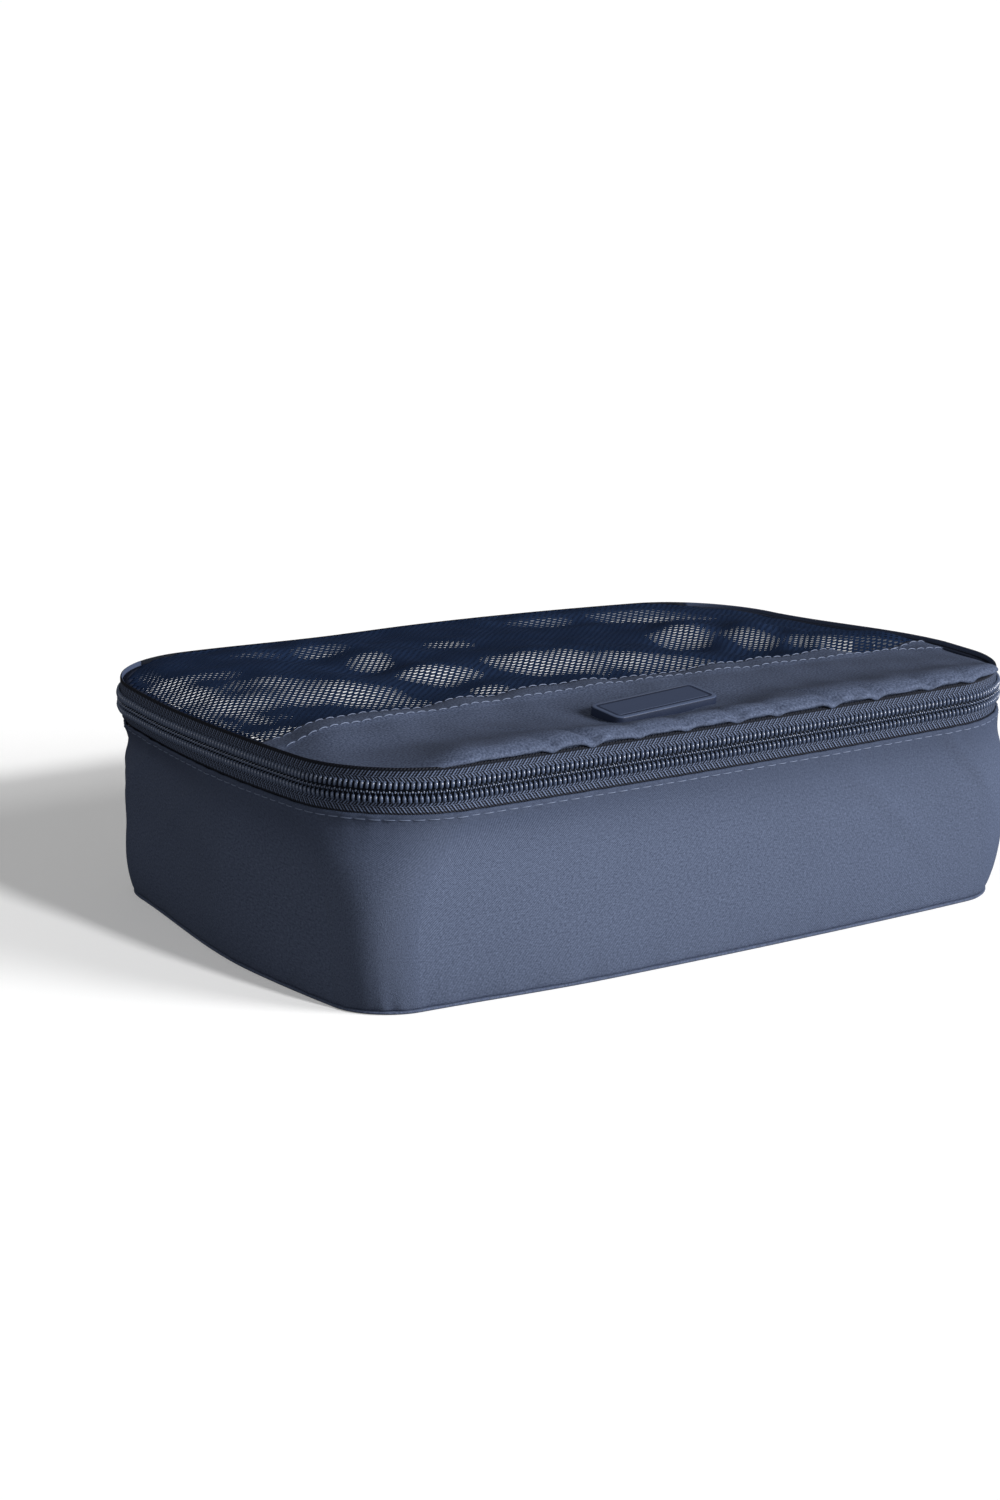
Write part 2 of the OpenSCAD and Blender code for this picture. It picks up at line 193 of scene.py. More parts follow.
def settle(points):
    x, y, z = np.asarray(points, float).reshape(-1, 3).T
    share = np.clip(z / rimZ, 0, 1.1) ** 1.5
    (x0, x1), (y0, y1) = sag["dropX"], sag["dropY"]
    rear = (np.clip((y - y0) / (y1 - y0), 0, 1) + smoothStep(y, y0, y1)) / 2
    dz = -sag["drop"] * np.clip((x - x0) / (x1 - x0), 0, 1.02) ** 1.6 * rear
    dz = dz + sag["lift"] * (1 - smoothStep(x, *sag["liftX"])) * smoothStep(y, *sag["liftY"])
    draw = sag["drawIn"] * (1 - smoothStep(z, sag["drawTop"], zipZ - sag["drawGap"]))
    draw = draw + sag["hollow"] * bell(z, sag["hollowAt"], sag["hollowHalf"])
    left = draw * smoothStep(-x, *sag["drawX"]) * smoothStep(y, *sag["drawY"])
    left = left + sag["hug"] * smoothStep(-x, *sag["hugX"]) * smoothStep(z, sag["drawTop"], zipZ)
    right = sag["tuckIn"] * smoothStep(x, *sag["tuckX"]) * np.clip(1 - z / sag["tuckTop"], 0, 1)
    foot = np.clip(1 - z / sag["spreadTop"], 0, 1) ** 1.5 * smoothStep(-y, *sag["spreadY"])
    push = sag["spread"] - sag["cornerBack"] * smoothStep(-x, *sag["cornerX"])
    return np.stack([x + left - right, y - push * foot, z + dz * share], -1)


def pick(*pieces):
    bpy.ops.object.select_all(action="DESELECT")
    for p in pieces:
        p.select_set(True)
    bpy.context.view_layer.objects.active = pieces[-1]


def place(name, data):
    made = bpy.data.objects.new(name, data)
    bpy.context.collection.objects.link(made)
    return made


# which body a piece moves with, its material slot, which is not used, and the CAD nodes it stands for
def dress(piece, body, slot, *nodes):
    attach(piece, body)
    if nodes:
        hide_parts(*nodes)


def addMesh(name, points, faces, uv, materials, faceMaterial=None):
    mesh = bpy.data.meshes.new(name)
    mesh.from_pydata(settle(points).tolist(), [], faces)
    mesh.validate()
    if uv is not None:
        layer = mesh.uv_layers.new(name="weave")
        corner = np.empty(len(mesh.loops), dtype=np.int32)
        mesh.loops.foreach_get("vertex_index", corner)
        layer.data.foreach_set("uv", np.asarray(uv, dtype=np.float32).reshape(-1, 2)[corner].ravel())
    for m in materials:
        mesh.materials.append(m)
    if faceMaterial is not None:
        mesh.polygons.foreach_set("material_index", np.asarray(faceMaterial, dtype=np.int32))
    piece = place(name, mesh)
    pick(piece)
    bpy.ops.object.mode_set(mode="EDIT")
    bpy.ops.mesh.select_all(action="SELECT")
    bpy.ops.mesh.normals_make_consistent(inside=False)
    bpy.ops.object.mode_set(mode="OBJECT")
    bpy.ops.object.shade_smooth()
    return piece


# rings of points, one ring at each station; the first half of a ring is the outside
def loft(name, rings, closed, uv, materials, ringSlot):
    n, m = rings.shape[:2]
    at = np.arange(n * m).reshape(n, m)
    nxt = np.roll(at, -1, axis=0)
    if not closed:
        at, nxt = at[:-1], nxt[:-1]
    faces = np.stack([at, np.roll(at, -1, 1), np.roll(nxt, -1, 1), nxt], axis=-1).reshape(-1, 4).tolist()
    slots = np.tile(ringSlot, len(at)).tolist()
    if not closed:
        for first in (0, (n - 1) * m):
            for k in range(m // 2 - 1):
                faces.append([first + k, first + k + 1, first + m - 2 - k, first + m - 1 - k])
                slots.append(0)
    return addMesh(name, rings, faces, uv, materials, slots)


# cloth standing along a path: each level has a height, an outer and an inner growth, and a radius
# the inside takes the second material below paleBelow, the top edge the third, which paints shade on it,
# above the height given for that
def clothWall(name, path, heights, outer, inner, radius, materials, closed=False, paleBelow=None,
              paintedShadeAbove=None, innerTop=0):
    rings = [ringAt(path, z, o, r) for z, o, r in zip(heights, outer, radius)]
    for z, o, i, r in reversed(list(zip(heights, outer, inner, radius))):
        rings.append(ringAt(path, z, i, r + np.mean(i) - np.mean(o)))
    rings = np.stack(rings, 1)
    uv = np.stack(np.broadcast_arrays(lengthAlong(path)[:, None], rings[..., 2]), -1)
    levels = len(heights)
    ringSlot = np.zeros(2 * levels, int)
    if paleBelow is not None:
        ringSlot[levels:-1] = np.where(np.array(heights[::-1])[:-1] <= paleBelow, 1, innerTop)
    if paintedShadeAbove is not None:
        ringSlot[np.concatenate([heights, heights[::-1]]) >= paintedShadeAbove] = 2
    return loft(name, rings, closed, uv, materials, ringSlot)


# node wiring for the materials
class Wire:
    def __init__(self, tree, out=None):
        self.tree, self.out = tree, out

    def node(self, kind, inputs=(), output=0, **props):
        made = self.tree.nodes.new(kind)
        for key, value in props.items():
            setattr(made, key, value)
        for key, value in dict(inputs).items():
            if isinstance(value, Wire):
                self.tree.links.new(value.out, made.inputs[key])
            else:
                made.inputs[key].default_value = value
        return Wire(self.tree, made.outputs[output])

    def math(self, kind, *values):
        return self.node("ShaderNodeMath", enumerate(values), operation=kind)

    def __add__(self, other):
        return self.math("ADD", self, other)

    def __sub__(self, other):
        return self.math("SUBTRACT", self, other)

    def __rsub__(self, other):
        return self.math("SUBTRACT", other, self)

    def __mul__(self, other):
        return self.math("MULTIPLY", self, other)

    def __truediv__(self, other):
        return self.math("DIVIDE", self, other)

    def __rtruediv__(self, other):
        return self.math("DIVIDE", other, self)

    __radd__ = __add__
    __rmul__ = __mul__


def newMaterial(name, roughness, specular=0.5, **constants):
    material = bpy.data.materials.new(name)
    material.use_nodes = True
    tree = material.node_tree
    shader = tree.nodes["Principled BSDF"]
    constants = {"Roughness": roughness, "Specular IOR Level": specular, **constants}
    for key, value in constants.items():
        shader.inputs[key].default_value = value
    return material, Wire(tree), shader


def plug(wire, shader, socket):
    wire.tree.links.new(wire.out, shader.inputs[socket])


def wave(w, t):
    return w.math("SINE", t * (2 * math.pi)) * 0.5 + 0.5


def uvOf(w):
    split = w.node("ShaderNodeSeparateXYZ", {0: w.node("ShaderNodeUVMap", uv_map="weave")})
    return split, Wire(w.tree, split.out.node.outputs[1])


def noiseOf(w, vector, scale, detail):
    return w.node("ShaderNodeTexNoise", {"Vector": vector, "Scale": scale, "Detail": detail})


def fadeOf(w, value, start, end, first, last):
    spans = {0: value, 1: start, 2: end, 3: first, 4: last}
    return w.node("ShaderNodeMapRange", spans, interpolation_type="SMOOTHSTEP")


def mixColor(w, share, first, second):
    mixed = w.node("ShaderNodeMix", {0: share}, 2, data_type="RGBA")
    for at, value in ((6, first), (7, second)):
        if isinstance(value, Wire):
            w.tree.links.new(value.out, mixed.out.node.inputs[at])
        else:
            mixed.out.node.inputs[at].default_value = (*value, 1)
    return mixed


def bumpOf(w, height, distance, strength):
    return w.node("ShaderNodeBump", {"Height": height, "Distance": distance, "Strength": strength})


# fine twill: slanted ribs crossed by uneven yarns; shade paints shade on it, darker from one height up to a
# second and beyond
twill = dict(ribs=0.00043, slant=0.8, depth=0.00009, yarnScale=2400, grainScale=1500, patchScale=90)


def twillMaterial(name, dark, light, shade=None, speckle=1.3):
    material, w, shader = newMaterial(name, 0.65, 0.18)
    u, v = uvOf(w)
    flat = w.node("ShaderNodeCombineXYZ", {0: u, 1: v})
    rib = wave(w, (u * twill["slant"] + v) / twill["ribs"])
    yarn = noiseOf(w, w.node("ShaderNodeCombineXYZ", {0: u * 0.35, 1: v * 1.6}), twill["yarnScale"], 1.0)
    grain = noiseOf(w, flat, twill["grainScale"], 3.0)
    patches = noiseOf(w, flat, twill["patchScale"], 2.0)
    tone = rib * 0.4 + yarn * 0.6 + grain * speckle + patches * 0.1 - 0.05 - speckle * 0.5
    color = mixColor(w, tone, dark, light)
    if shade is not None:
        low, high, share = shade
        color = mixColor(w, fadeOf(w, v, low, high, 0.0, share), color, dark)
    plug(color, shader, "Base Color")
    plug(bumpOf(w, rib + yarn * 0.7 + grain * 1.2, twill["depth"], 0.8), shader, "Normal")
    return material


# zip tape: slanted ribs that change direction away from the teeth; towards both edges, where it goes under
# the cloth, it fades to the dark colour, a painted shade
tapeWeave = dict(pitch=0.00107, turnAt=0.0043, innerSlant=800.0, outerSlant=700.0, knit=0.0007,
                 paintedShadeFrom=0.0056, paintedShadeTo=0.0064, depth=0.00035, grainScale=1800)


def tapeMaterial(name, dark, light, s):
    material, w, shader = newMaterial(name, 0.6, 0.2)
    u, v = uvOf(w)
    out = w.math("ABSOLUTE", v - zipZ)
    inner = w.math("LESS_THAN", out, s["turnAt"])
    phase = u / s["pitch"] + out * s["innerSlant"] * inner - out * s["outerSlant"] * (1.0 - inner)
    herring = w.math("POWER", wave(w, phase * 0.5), 1.3) * 0.3 + wave(w, phase) * 0.7
    grain = noiseOf(w, w.node("ShaderNodeCombineXYZ", {0: u, 1: v}), s["grainScale"], 2.0)
    height = herring * 0.9 + wave(w, out / s["knit"]) * 0.2
    # painted shade at both edges of the tape
    unshaded = fadeOf(w, out, s["paintedShadeFrom"], s["paintedShadeTo"], 1.0, 0.0)
    plug(mixColor(w, (height * 2.5 + grain * 0.4 - 1.30) * unshaded, dark, light), shader, "Base Color")
    plug(bumpOf(w, height, s["depth"], 0.8), shader, "Normal")
    return material


def plainMaterial(name, color, roughness, grainScale, grainDepth, spread, specular=0.5, **constants):
    material, w, shader = newMaterial(name, roughness, specular, **constants)
    grain = noiseOf(w, w.node("ShaderNodeTexCoord", output=3), grainScale, 3.0)
    dark = [c * (1 - spread) for c in color]
    light = [c * (1 + spread) for c in color]
    plug(mixColor(w, grain, dark, light), shader, "Base Color")
    plug(bumpOf(w, grain, grainDepth, 0.5), shader, "Normal")
    return material


print("making materials")
navyDark, navyLight = (0.043, 0.058, 0.104), (0.155, 0.194, 0.302)
clothFinish = twillMaterial("navyTwill", navyDark, navyLight)
bandFinish = twillMaterial("navyTwillBand", (0.038, 0.052, 0.096), (0.160, 0.200, 0.312), speckle=2.0)
# painted shade: the wall darkens towards its top, under the zip
wallFinish = twillMaterial("navyTwillWall", navyDark, navyLight, shade=(0.036, 0.060, 0.55))
tapeFinish = tapeMaterial("zipTapeWeave", (0.006, 0.008, 0.016), (0.158, 0.202, 0.322), tapeWeave)
# the lining has a painted glow, light that no lamp gives, so that the net's holes show light
liningPaintedGlow = {"Emission Color": (0.97, 0.985, 1.0, 1), "Emission Strength": 0.33}
reverseWithPaintedGlow = plainMaterial("paleReversePaintedGlow", (0.475, 0.48, 0.49), 0.6, 900, 0.00004, 0.06, **liningPaintedGlow)
# colour, roughness, scale and depth of the grain, spread of the colour, specular
coilFinish = plainMaterial("coilNylon", (0.112, 0.146, 0.236), 0.18, 400, 0.00001, 0.15, 0.9)
stopFinish = plainMaterial("stopNylon", (0.026, 0.035, 0.062), 0.4, 400, 0.00001, 0.1)
# near-black: painted shade, for the strips behind the teeth and the hinge cloth's top edge
paintedShadeFinish = plainMaterial("coilCorePaintedShade", (0.005, 0.0075, 0.014), 0.7, 3000, 0.00003, 0.3, 0.1)
rimFinish = plainMaterial("tapeReverse", (0.058, 0.077, 0.134), 0.75, 2500, 0.00008, 0.3, 0.15)
netFinish = plainMaterial("netYarn", (0.0150, 0.0315, 0.080), 0.8, 2200, 0.00004, 0.5, 0.05)
# a darker copy of the net yarn for the sides of its holes: painted shade
netWellPaintedShade = plainMaterial("netWellPaintedShade", (0.0065, 0.0135, 0.036), 0.85, 3000, 0.00004, 0.3, 0.05)
threadFinish = plainMaterial("thread", (0.165, 0.205, 0.315), 0.5, 5000, 0.00003, 0.2)
badgeFinish = plainMaterial("badgeRubber", (0.050, 0.071, 0.136), 0.38, 1500, 0.00002, 0.1, 0.3)
# lighter border and round top edge: painted highlight
badgeRimPaintedHighlight = plainMaterial("badgeBorderPaintedHighlight", (0.088, 0.118, 0.206), 0.4, 1500, 0.00002, 0.1, 0.3)
# darker sides and groove floor: painted shade
badgeSidePaintedShade = plainMaterial("badgeEdgePaintedShade", (0.020, 0.030, 0.064), 0.5, 1500, 0.00002, 0.1, 0.25)
seamFinish = plainMaterial("seamTape", (0.022, 0.030, 0.056), 0.8, 2500, 0.00008, 0.3, 0.12)
bindingFinish = plainMaterial("bindingTape", (0.255, 0.278, 0.325), 0.75, 2500, 0.00008, 0.3)
paint = {"Metallic": 0.3, "Coat Weight": 0.4, "Coat Roughness": 0.15}
sliderFinish = plainMaterial("sliderPaint", (0.045, 0.059, 0.095), 0.35, 2500, 0.000008, 0.1, **paint)

print("sewing the wall")
wall = dict(step=0.0018, levels=34, cloth=0.0006, hemCloth=0.00105, hemHeight=0.0065, hemBlend=0.001,
            hemShares=(0.985, 0.993, 0.998, 1), foldR=0.0006, crease=0.0002, creaseHeight=0.0022, lap=0.0,
            neck=0.0010, neckDrop=0.007, neckHalf=0.006, swell=0.00045, hemRipple=0.00012, footRipple=0.00016)
# slanted creases: place along the wall, height, slant in degrees, half length, half width, depth
wallCreases = [
    (0.030, 0.046, 62, 0.020, 0.0030, 0.0007), (0.043, 0.050, 55, 0.016, 0.0026, 0.0006),
    (0.058, 0.044, 48, 0.022, 0.0034, 0.0006), (0.090, 0.040, 40, 0.024, 0.0045, 0.0005),
    (0.118, 0.030, 75, 0.018, 0.0040, 0.0004), (0.360, 0.036, -50, 0.026, 0.0050, 0.0004),
    (0.395, 0.046, -58, 0.020, 0.0036, 0.0005), (0.465, 0.045, -60, 0.020, 0.0032, 0.0006)]


def wallGrow(t):
    below = (1 - t) * (wallTop - baseTop)
    neck = wall["neck"] * bell(below, wall["neckDrop"], wall["neckHalf"])
    return cube["hem"] - cube["tuck"] * (1 - t) ** 6 + 4 * cube["belly"] * t * (1 - t) - neck


# the near front corner is filled out further than the other three
def wallRadius(t, path):
    near = cube["nearR"] + (cube["cornerR"] - cube["nearR"]) * min(1, t / 0.94) ** 4
    other = cube["footR"] + (cube["cornerR"] - cube["footR"]) * t ** 2
    return np.where((path[:, 0] < 0) & (path[:, 1] < 0), near, other)


def wallRipple(along, z):
    t = (z - baseTop) / (wallTop - baseTop)
    ripple = wall["swell"] * wobble(along, 3, 0.05, 0.13) * np.sin(math.pi * t)
    ripple = ripple + wall["hemRipple"] * wobble(along, 5, 0.006, 0.014) * np.exp(-(wallTop - z) / 0.004)
    ripple = ripple + wall["footRipple"] * wobble(along, 8, 0.009, 0.03) * np.exp(-(z - baseTop) / 0.006)
    for s, zc, slant, length, width, depth in wallCreases:
        c, d = math.cos(math.radians(slant)), math.sin(math.radians(slant))
        run = (along - s) * c + (z - zc) * d
        off = ((z - zc) * c - (along - s) * d) / width
        ripple = ripple + depth * bell(run, 0, length) * bell(off, 0, 1) * np.sin(off * 1.6 + 0.9)
    return ripple


def wallLevels(path, s):
    along = lengthAlong(path)
    foot, main = np.linspace(0, 0.08, 6)[:-1], np.linspace(0.08, 0.97, s["levels"])
    hemZ = wallTop - s["hemHeight"]
    heights, outer, inner, radius = [], [], [], []
    for t in np.concatenate([foot, main, s["hemShares"]]):
        z = baseTop + (wallTop - baseTop) * t
        crease = s["crease"] * max(0.0, 1 - (z - baseTop) / s["creaseHeight"]) ** 2
        thick = s["cloth"] + (s["hemCloth"] - s["cloth"]) * smoothStep(z, hemZ - s["hemBlend"], hemZ)
        grow = wallGrow(t) + wallRipple(along, z) - crease - s["lap"]
        rounding = edgeRound(wallTop - z, s["foldR"], thick)
        heights.append(z)
        outer.append(grow - rounding)
        inner.append(grow - thick + rounding)
        radius.append(wallRadius(t, path))
    return heights, outer, inner, radius


def wallPanel(name, path, s, node):
    materials = (wallFinish, reverseWithPaintedGlow)
    cloth = clothWall(name, path, *wallLevels(path, s), materials, paleBelow=wallTop - 0.001)
    dress(cloth, "tub", "cloth", node)
    flat = (lengthAlong(path)[-1], wallTop - baseTop)


wallPath = frontPath(wall["step"], 90)
wallPanel("wallCloth", wallPath, wall, "gusset")
rearWall = dict(wall, step=0.003, lap=0.0004, lapTurn=86)
wallPanel("rearCloth", backPath(rearWall["step"], rearWall["lapTurn"]), rearWall, "back_panel")

print("laying the base")
# profile: height and inset of each ring, from the floor up and in; areaShare is not used
base = dict(step=0.003, lip=0.0002, areaShare=0.9825,
            profile=((0.0, 0.0012), (0.0002, 0.0004), (0.0006, 0.0), (0.0010, 0.0001), (baseTop, 0.0006),
                     (baseTop, 0.003)))


def basePanel(s):
    path = closedPath(s["step"])
    grow, radius = wallGrow(0) + s["lip"], wallRadius(0, path)
    rings = [ringAt(path, z, grow - inset, radius) for z, inset in s["profile"]]
    points = np.concatenate(rings)
    at = np.arange(len(points)).reshape(len(rings), len(path))
    nxt = np.roll(at, -1, 1)
    faces = np.stack([at[:-1], nxt[:-1], nxt[1:], at[1:]], -1).reshape(-1, 4).tolist()
    faces += [at[0].tolist(), at[-1].tolist()]
    slots = [0] * (len(faces) - 1) + [1]
    return addMesh("basePanel", points, faces, points[:, :2], (clothFinish, reverseWithPaintedGlow), slots)


baseCloth = basePanel(base)
dress(baseCloth, "tub", "cloth", "base_panel")

binding = dict(step=0.004, height=0.009, cloth=0.0007, edge=0.0003, inside=0.0013)


def bindingTape(s):
    path = closedPath(s["step"])
    zs = baseTop + s["height"] * np.array([0, 0.06, 0.5, 0.94, 1])
    inset = s["edge"] * np.array([1, 0, 0, 0, 1])
    grow = wallGrow(0) - s["inside"]
    faces = grow - inset, grow - s["cloth"] + inset
    return clothWall("baseBinding", path, zs, *faces, [tapeR + grow] * len(zs), (bindingFinish,), closed=True)


dress(bindingTape(binding), "tub", "binding", "base_binding")

print("weaving the zip tapes")
tape = dict(step=0.0018, cloth=0.0007, edge=0.0005, edgeRow=0.0002, firstRow=0.0006, rows=8)
chainGap = 0.00004


def zipTape(name, path, s, low, high, grow=0.0, materials=(tapeFinish, reverseWithPaintedGlow, rimFinish)):
    main = np.linspace(low + s["firstRow"], high - s["firstRow"], s["rows"])
    zs = np.concatenate([[low, low + s["edgeRow"]], main, [high - s["edgeRow"], high]])
    return clothWall(name, path, zs, *stripFaces(zs, s, grow), [tapeR] * len(zs), materials,
                     paleBelow=lidZ - 0.003, innerTop=2)


tapePath = frontPath(tape["step"], cube["zipTurn"])
lowerTape = zipTape("lowerTape", tapePath, tape, lowerMin.z, zipZ - chainGap)
dress(lowerTape, "tub", "zip_tape", "lower_zip_tape")
upperTape = zipTape("upperTape", tapePath, tape, zipZ + chainGap, rimZ)
dress(upperTape, "lid", "zip_tape", "upper_zip_tape")

print("setting the teeth")
tooth = dict(step=0.0009, pitch=0.00165, start=0.25, wide=0.00058, neck=0.00014, bead=0.00032, slant=0.00014,
             middle=0.0015)
coilCorePaintedShade = dict(tape, step=0.003, cloth=0.0002, edge=0.0002)
# each row: which way it stands, its body, its shift in pitches, and its core's foot, top and growth
coilRows = dict(lower=(-1, "tub", 0.5, -0.0029, 0.0002, 0.00015),
                upper=(1, "lid", 0.0, -0.0004, 0.0029, 0.0004))


def rodThrough(spots, radii, resolution):
    bpy.ops.object.select_all(action="DESELECT")
    bpy.ops.curve.primitive_bezier_curve_add(location=(0, 0, 0))
    rod = bpy.context.object
    rod.data.dimensions = "3D"
    spline = rod.data.splines[0]
    spline.bezier_points.add(len(spots) - 2)
    for point, at, r in zip(spline.bezier_points, spots, radii):
        point.co = at
        point.handle_left_type = point.handle_right_type = "AUTO"
        point.radius = r
    rod.data.resolution_u = resolution
    rod.data.bevel_depth = 1.0
    rod.data.bevel_resolution = 1
    rod.data.use_fill_caps = True
    pick(rod)
    bpy.ops.object.convert(target="MESH")
    return bpy.context.object


def takeMesh(piece):
    points = np.array([v.co for v in piece.data.vertices])
    faces = [list(p.vertices) for p in piece.data.polygons]
    bpy.data.objects.remove(piece)
    return points, faces


# one mesh from many copies of a shape, each given by its own points
def manyOf(name, copies, faces, material):
    size = len(copies[0])
    allFaces = [[i + k * size for i in f] for k in range(len(copies)) for f in faces]
    return addMesh(name, np.concatenate(copies), allFaces, None, (material,))


# copies of one shape along a path: its x runs along it, y outwards, z up
def alongPath(name, shape, places, path, height, material, outAt=0.0):
    points, faces = shape
    x, y = outline(path, 0, tapeR)
    s = lengthAlong(path)
    tx, ty = np.gradient(x, s), np.gradient(y, s)
    size = np.hypot(tx, ty)
    copies = []
    for at, grow in zip(places, np.broadcast_to(outAt, len(places))):
        px, py, dx, dy = (np.interp(at, s, v) for v in (x, y, tx / size, ty / size))
        run, out, z = points[:, 0], points[:, 1] + grow, points[:, 2] + height
        copies.append(np.stack([px + dx * run + dy * out, py + dy * run - dx * out, z], -1))
    return manyOf(name, copies, faces, material)


# rings of a tooth: height, distance out, radius; from the root in the tape to the bead past the middle
def toothShape(s, up):
    wide, neck, bead = s["wide"], s["neck"], s["bead"]
    rings = [(0.00305, 0.00030, 0.45 * wide), (0.00272, 0.00070, 0.95 * wide), (0.00190, 0.00088, wide),
             (0.00128, 0.00082, 0.9 * wide), (0.00096, 0.00030, neck), (0.00046, 0.00034, neck),
             (0.00018, 0.00092, bead), (-0.00016, 0.00080, 0.7 * bead)]
    spots = [(s["slant"] * (z / s["middle"] - 1), out, z * up) for z, out, r in rings]
    return takeMesh(rodThrough(spots, [r for z, out, r in rings], 1))


coilPath = frontPath(tooth["step"], cube["coilTurn"])
corePath = frontPath(coilCorePaintedShade["step"], cube["coilTurn"])
toothCount = int(lengthAlong(coilPath)[-1] / tooth["pitch"])
toothPlaces = (np.arange(toothCount) + tooth["start"]) * tooth["pitch"]
for label, (up, body, shift, foot, top, grow) in coilRows.items():
    places = toothPlaces + shift * tooth["pitch"]
    row = alongPath(label + "Teeth", toothShape(tooth, up), places, coilPath, zipZ, coilFinish)
    dress(row, body, "zip_coil", label + "_zip_coil")
    # a near-black strip behind each row of teeth: painted shade for the dark lines between the rows
    core = zipTape(label + "Core", corePath, coilCorePaintedShade, zipZ + foot, zipZ + top, grow, (paintedShadeFinish,) * 3)
    dress(core, body, "zip_coil")


# a cube at its size, left in edit mode with all of it selected
def sizedCube(size):
    bpy.ops.object.select_all(action="DESELECT")
    bpy.ops.mesh.primitive_cube_add(size=1, location=(0, 0, 0))
    bpy.ops.object.mode_set(mode="EDIT")
    bpy.ops.mesh.select_all(action="SELECT")
    bpy.ops.transform.resize(value=size)
    return bpy.context.object


def block(middle, size, bevel, material=sliderFinish):
    piece = sizedCube(size)
    bpy.ops.transform.translate(value=middle)
    bpy.ops.object.mode_set(mode="OBJECT")
    edge = piece.modifiers.new("edge", "BEVEL")
    edge.width = bevel
    edge.segments = 3
    pick(piece)
    bpy.ops.object.modifier_apply(modifier="edge")
    piece.data.materials.append(material)
    bpy.ops.object.shade_smooth_by_angle(angle=math.radians(40))
    return piece


def joined(name, *pieces):
    pick(*pieces)
    bpy.ops.object.join()
    whole = bpy.context.object
    whole.name = name
    return whole


print("closing the zip ends")
stop = dict(wide=0.0019, deep=0.0036, bevel=0.0005, grow=0.0002, out=0.0011)
for label, body in (("lower", "tub"), ("upper", "lid")):
    low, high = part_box(label + "_zip_stops")
    t = math.radians(180 - (cube["zipTurn"] + cube["coilTurn"]) / 2)
    path = np.array([(-1, 1, math.cos(t), math.sin(t))])
    x, y = (float(v[0]) for v in outline(path, stop["out"], tapeR + stop["out"]))
    size = (stop["wide"], stop["deep"], high.z - low.z + stop["grow"])
    pair = []
    for side in (1, -1):
        clamp = block((0, 0, (low.z + high.z) / 2), size, stop["bevel"], stopFinish)
        turn = t if side > 0 else math.pi - t
        clamp.data.transform(Matrix.Translation((x * side, y, 0)) @ Matrix.Rotation(turn, 4, "Z"))
        for v, at in zip(clamp.data.vertices, settle([v.co for v in clamp.data.vertices])):
            v.co = at
        pair.append(clamp)
    dress(joined(label + "Stops", *pair), body, "zip_coil", label + "_zip_stops")

print("folding the hinge cloth")
fold = dict(step=0.003, cloth=0.0008, edge=0.0004, crease=0.0007, creaseHeight=0.0016)
foldPath = backPath(fold["step"], cube["zipTurn"])


def hingeSheet(path, s):
    below = np.linspace(lowerMin.z + 0.001, zipZ - 0.004, 6)
    bend = np.linspace(zipZ - 0.0035, zipZ + 0.0035, 15)
    above = np.linspace(zipZ + 0.004, rimZ - 0.001, 5)
    zs = np.concatenate([[lowerMin.z, lowerMin.z + 0.0003], below, bend, above, [rimZ - 0.0003, rimZ]])
    faces = stripFaces(zs, s, s["crease"] * bell(zs, zipZ, s["creaseHeight"]))
    # the top edge takes the near-black third material, painted shade
    materials = (clothFinish, reverseWithPaintedGlow, paintedShadeFinish)
    return clothWall("hingeCloth", path, zs, *faces, [tapeR] * len(zs), materials, paleBelow=lidZ - 0.001,
                     paintedShadeAbove=lidZ - 0.0005)


hingeCloth = hingeSheet(foldPath, fold)
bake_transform(hingeCloth)
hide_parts("back_strip", "hinge_fold", "lid_back_strip")
hingeFlat = (lengthAlong(foldPath)[-1], rimZ - lowerMin.z)

print("shaping the lid")
# a span of two is where a form comes or goes; of four, where it starts, is full, starts to fade and is gone
# lip: how far out and down each ring of the rolled edge lies
lid = dict(roll=0.0048, rollDepth=0.0155, rollFrom=(-0.110, -0.088), rollTo=(0.114, 0.128), endDrop=0.0014,
           endX=(0.088, 0.116), fill=0.0019, fillX=(0.0, 0.060), fillY=(-0.058, -0.030, -0.005, 0.055),
           shoulder=0.0017, shoulderX=(-0.105, -0.060), shoulderY=(-0.060, -0.032, 0.030, 0.075),
           rearLift=0.0013, farDip=0.0016, dipHalf=0.0026, swell=0.00025, slackSwell=0.00012,
           hemLift=0.0005, badgeDip=0.0021, badgeDipX=0.034, badgeDipY=(-0.010, 0.008, 0.008, 0.024),
           clothT=0.0006, lipX=(-0.110, -0.088, 0.114, 0.129), lipLeast=0.12, lipRipple=0.16,
           lip=((0.0008, 0.0003), (0.0015, 0.0008), (0.0019, 0.0014), (0.0019, 0.0019), (0.0015, 0.0023),
                (0.0009, 0.0022), (0.0003, 0.0021), (0.0002, 0.0045)))
lidA = halfL - cube["lidInset"]
lidR = tapeR - cube["lidInset"]
# dips in the rolled front edge: place along x, depth, slant, reach to the rear
bandDips = [
    (-0.064, 0.0012, -0.5, 0.009), (-0.050, 0.0018, -0.6, 0.024), (-0.034, 0.0008, -0.3, 0.007),
    (-0.0165, 0.0010, -0.4, 0.008), (0.0025, 0.0013, -0.6, 0.009), (0.0175, 0.0010, -0.5, 0.008),
    (0.039, 0.0017, -0.7, 0.013), (0.0565, 0.0014, -0.6, 0.010), (0.078, 0.0011, -0.5, 0.009),
    (0.096, 0.0010, -0.4, 0.008)]
